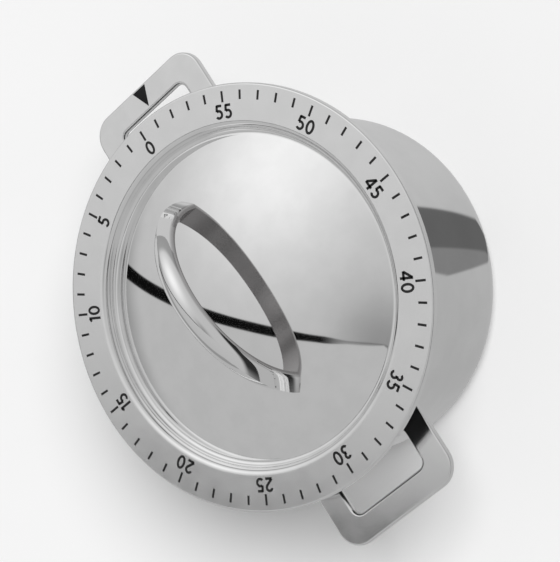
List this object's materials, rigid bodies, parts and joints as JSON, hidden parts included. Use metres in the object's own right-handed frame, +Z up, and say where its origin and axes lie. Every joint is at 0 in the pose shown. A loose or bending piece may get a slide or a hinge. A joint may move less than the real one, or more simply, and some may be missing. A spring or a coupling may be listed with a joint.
{
  "type": "kitchen timer",
  "caption": "Clockwork kitchen timer shaped like a lidded cooking pot: a plain steel pot with flat ear handles, and a numbered lid that is turned by a bowed grip.",
  "frame": {"origin": "centre of the base's underside, on the dial's turning axis", "axes": "+Z up through the dial, +Y towards the ear with the index mark, +X completes the right-handed frame"},
  "size_m": [0.074, 0.091, 0.056],
  "materials": {
    "polished_steel": "mirror polished stainless steel",
    "satin_steel": "fine satin stainless steel",
    "plain_steel": "turned or stamped steel, as machined",
    "spring_steel": "blued spring steel",
    "brass": "stamped or turned brass, lightly polished",
    "black_plastic": "moulded black plastic",
    "black_enamel": "black enamel"
  },
  "bodies": {
    "pot": {"pot_shell": "satin_steel", "pointer_ear": "polished_steel", "rear_ear": "polished_steel", "pointer_mark": "black_enamel", "mounting_ring": "black_plastic", "ring_screws": "plain_steel", "lower_plate": "brass", "upper_plate": "brass", "plate_pillars": "plain_steel", "pillar_screws": "plain_steel", "lower_bush": "brass", "upper_bush": "brass", "mainspring": "spring_steel", "spring_post": "plain_steel", "bell": "polished_steel", "bell_post": "plain_steel", "bell_screw": "plain_steel", "hammer_spring": "spring_steel"},
    "dial": {"dial_cover": "polished_steel", "backing_ring": "black_plastic", "grip": "polished_steel", "stud_sleeves": "plain_steel", "grip_washers": "plain_steel", "grip_nuts": "plain_steel", "dial_carrier": "black_plastic", "dial_shaft": "plain_steel", "great_wheel": "brass", "ratchet_wheel": "plain_steel", "click": "plain_steel", "trip_cam": "brass"},
    "second": {"second_pinion": "plain_steel", "second_wheel": "brass"},
    "third": {"third_pinion": "plain_steel", "third_wheel": "brass"},
    "escape": {"escape_pinion": "plain_steel", "escape_wheel": "brass"},
    "anchor": {"pallet_staff": "plain_steel", "pallet_lever": "plain_steel", "inertia_bar": "brass"},
    "hammer": {"hammer_staff": "plain_steel", "hammer_arm": "plain_steel", "hammer_head": "plain_steel", "trip_finger": "plain_steel"}
  },
  "joints": [
    {"name": "dial_turn", "type": "hinge", "parent": "pot", "child": "dial", "pos_m": [0, 0, 0.0372], "axis": [0, 0, 1], "range_deg": [-354, 0]},
    {"name": "second_turn", "type": "hinge", "parent": "pot", "child": "second", "pos_m": [-0.01691, -0.00616, 0.018], "axis": [0, 0, 1], "range_deg": [0, 1416]},
    {"name": "third_turn", "type": "hinge", "parent": "pot", "child": "third", "pos_m": [-0.00968, -0.01477, 0.018], "axis": [0, 0, 1], "range_deg": [-5664, 0]},
    {"name": "escape_turn", "type": "hinge", "parent": "pot", "child": "escape", "pos_m": [-0.00099, -0.0171, 0.018], "axis": [0, 0, 1], "range_deg": [0, 22656]},
    {"name": "anchor_rock", "type": "hinge", "parent": "pot", "child": "anchor", "pos_m": [0.00621, -0.0171, 0.018], "axis": [0, 0, 1], "range_deg": [-6, 6]},
    {"name": "hammer_swing", "type": "hinge", "parent": "pot", "child": "hammer", "pos_m": [0.01925, 0.01348, 0.018], "axis": [0, 0, 1], "range_deg": [0, 12], "stiffness_Nm_per_rad": 0.0005}
  ],
  "couplings": [
    {"joint": "second_turn", "follows": "dial_turn", "ratio": -4},
    {"joint": "third_turn", "follows": "dial_turn", "ratio": 16},
    {"joint": "escape_turn", "follows": "dial_turn", "ratio": -64}
  ]
}
